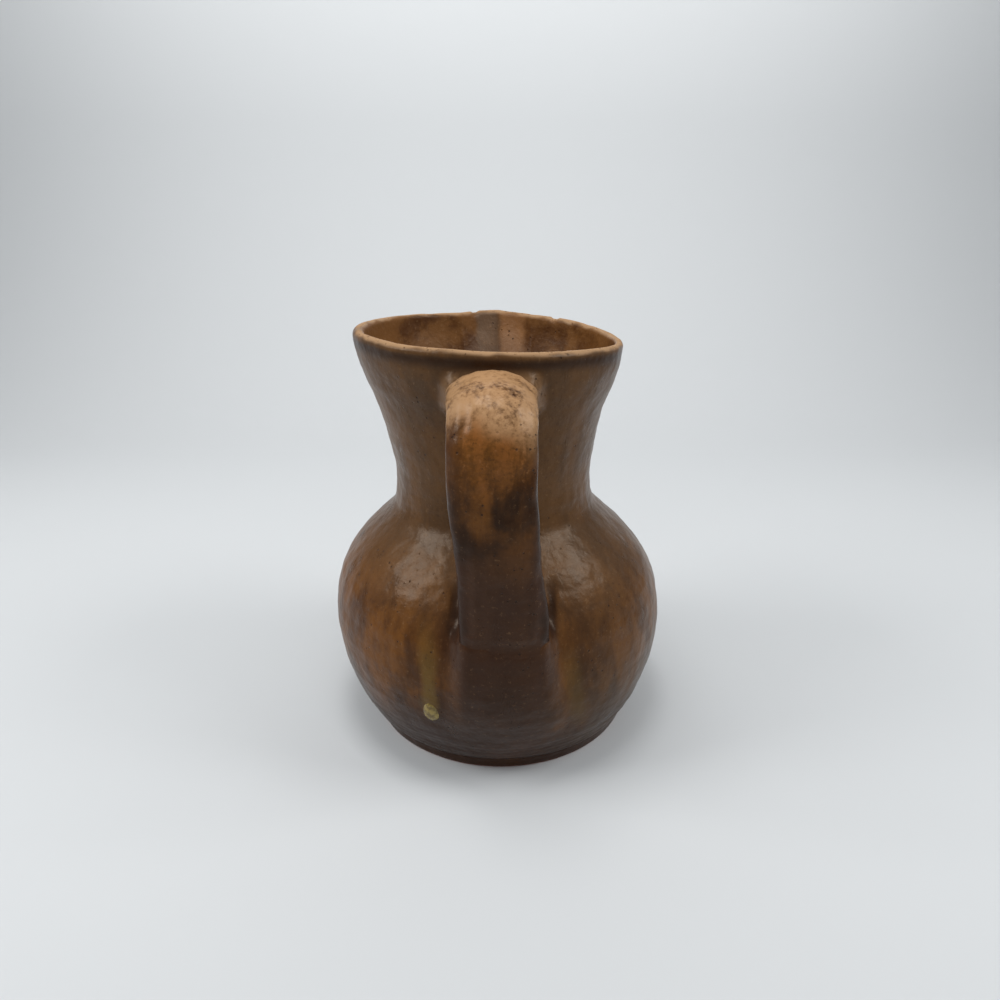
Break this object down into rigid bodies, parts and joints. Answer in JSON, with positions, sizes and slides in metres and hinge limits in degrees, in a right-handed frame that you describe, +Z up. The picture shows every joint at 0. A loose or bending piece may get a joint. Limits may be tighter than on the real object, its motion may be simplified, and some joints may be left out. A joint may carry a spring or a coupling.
{
  "type": "pitcher",
  "caption": "Round-bellied glazed pottery pitcher with a flared neck, a pulled pouring lip, a wide strap handle and a flat foot.",
  "frame": {"origin": "centre of the flat foot, on the surface it stands on", "axes": "+Z up, +Y towards the pouring lip, -Y towards the handle, +X to the right seen from the handle"},
  "size_m": [0.1479, 0.1568, 0.1738],
  "materials": {
    "brown_glaze": "glossy brown lead-type glaze",
    "olive_glaze": "thick glossy olive glaze",
    "bare_clay": "matt fired red clay"
  },
  "bodies": {
    "root": {"foot_disc": "bare_clay", "belly_wall": "brown_glaze", "neck_with_lip": "brown_glaze", "handle_strap": "brown_glaze", "handle_collar": "brown_glaze", "glaze_bead": "olive_glaze"}
  },
  "joints": []
}
